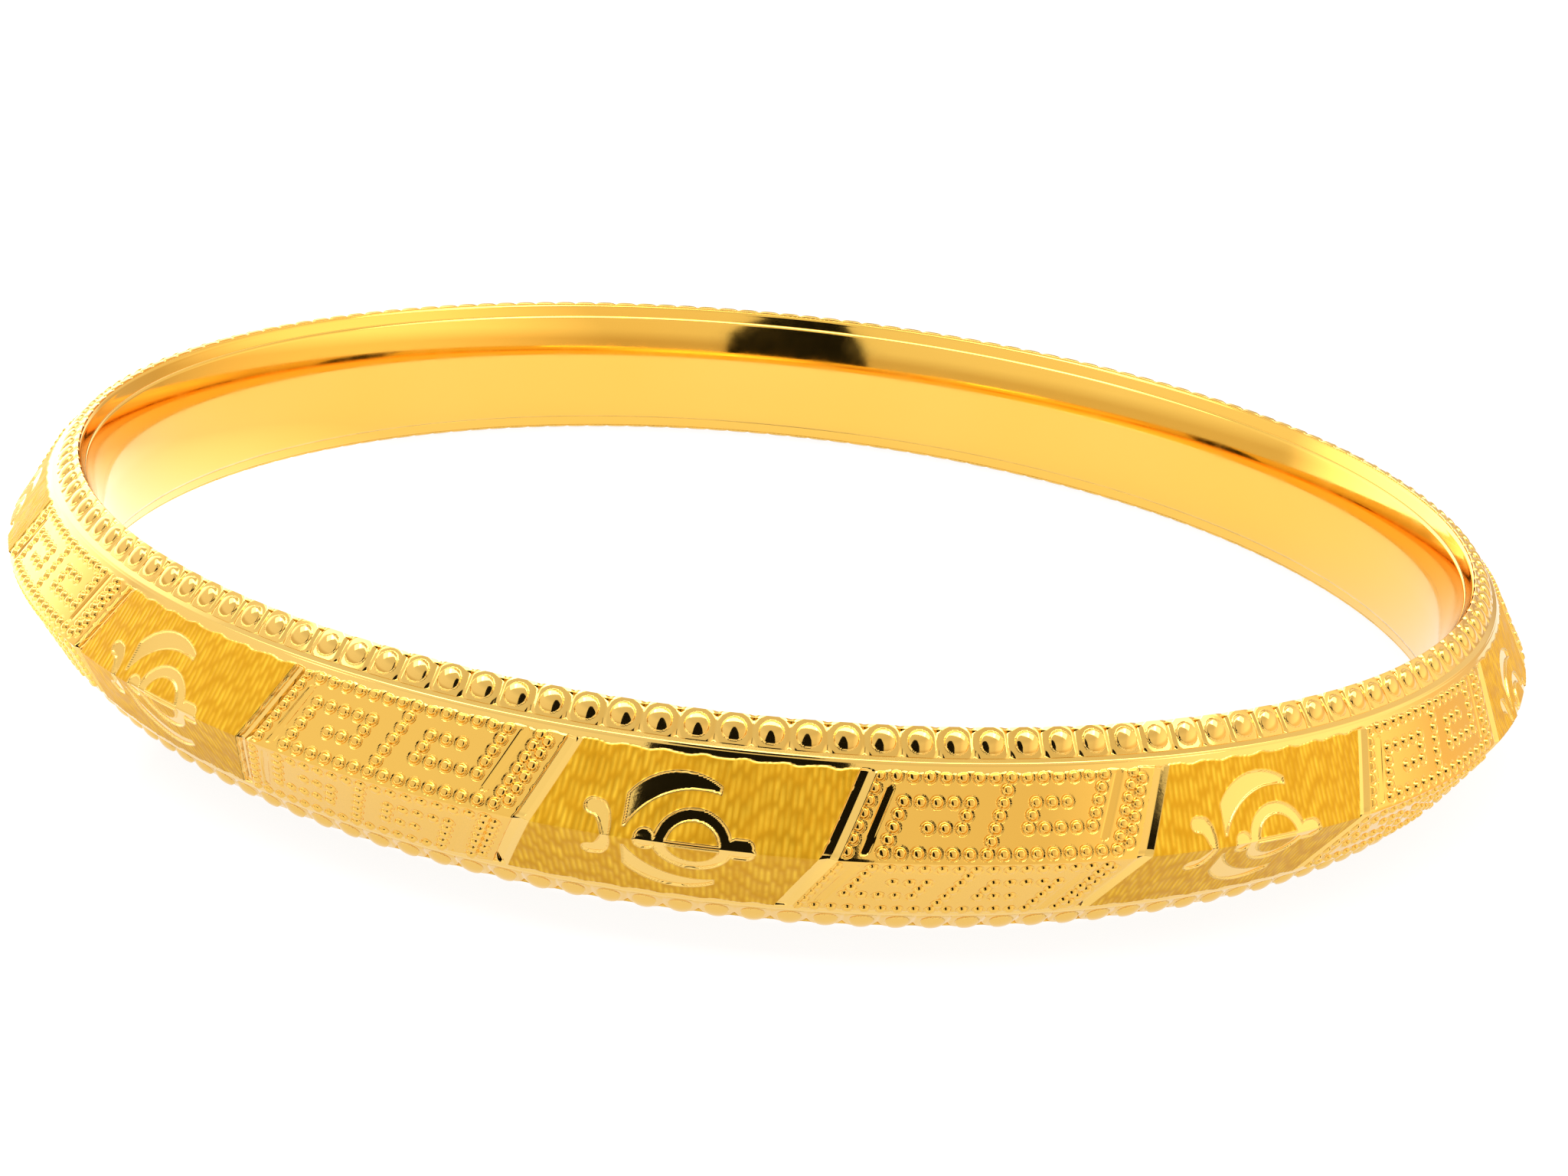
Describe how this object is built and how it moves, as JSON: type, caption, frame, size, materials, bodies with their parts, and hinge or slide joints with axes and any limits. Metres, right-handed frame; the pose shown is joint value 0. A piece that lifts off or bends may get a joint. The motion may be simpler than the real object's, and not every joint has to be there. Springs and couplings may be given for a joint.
{
  "type": "bangle bracelet",
  "caption": "Rigid hollow gold bangle with a knife-edge outline, engraved key and emblem panels, and beaded edges.",
  "frame": {"origin": "centre of the ring, at the height of the surface that it lies on", "axes": "+Z along the ring's axis, up when the bangle lies flat on its lower rim; -Y is the front"},
  "size_m": [0.0676, 0.0676, 0.0076],
  "materials": {
    "polished_gold": "mirror-polished 22 carat yellow gold",
    "engraved_gold": "satin hatched gold with bright-cut lines",
    "bead_gold": "burnished gold beads",
    "grain_gold": "burnished fine gold grains",
    "solder": "dull gold solder, hidden inside"
  },
  "bodies": {
    "root": {"inner_band": "polished_gold", "ridge_solder": "solder", "upper_flank": "engraved_gold", "lower_flank": "engraved_gold", "upper_rim": "polished_gold", "lower_rim": "polished_gold", "upper_bead_band": "bead_gold", "lower_bead_band": "bead_gold", "upper_beads": "bead_gold", "lower_beads": "bead_gold", "upper_key_grains": "grain_gold", "lower_key_grains": "grain_gold"}
  },
  "joints": []
}
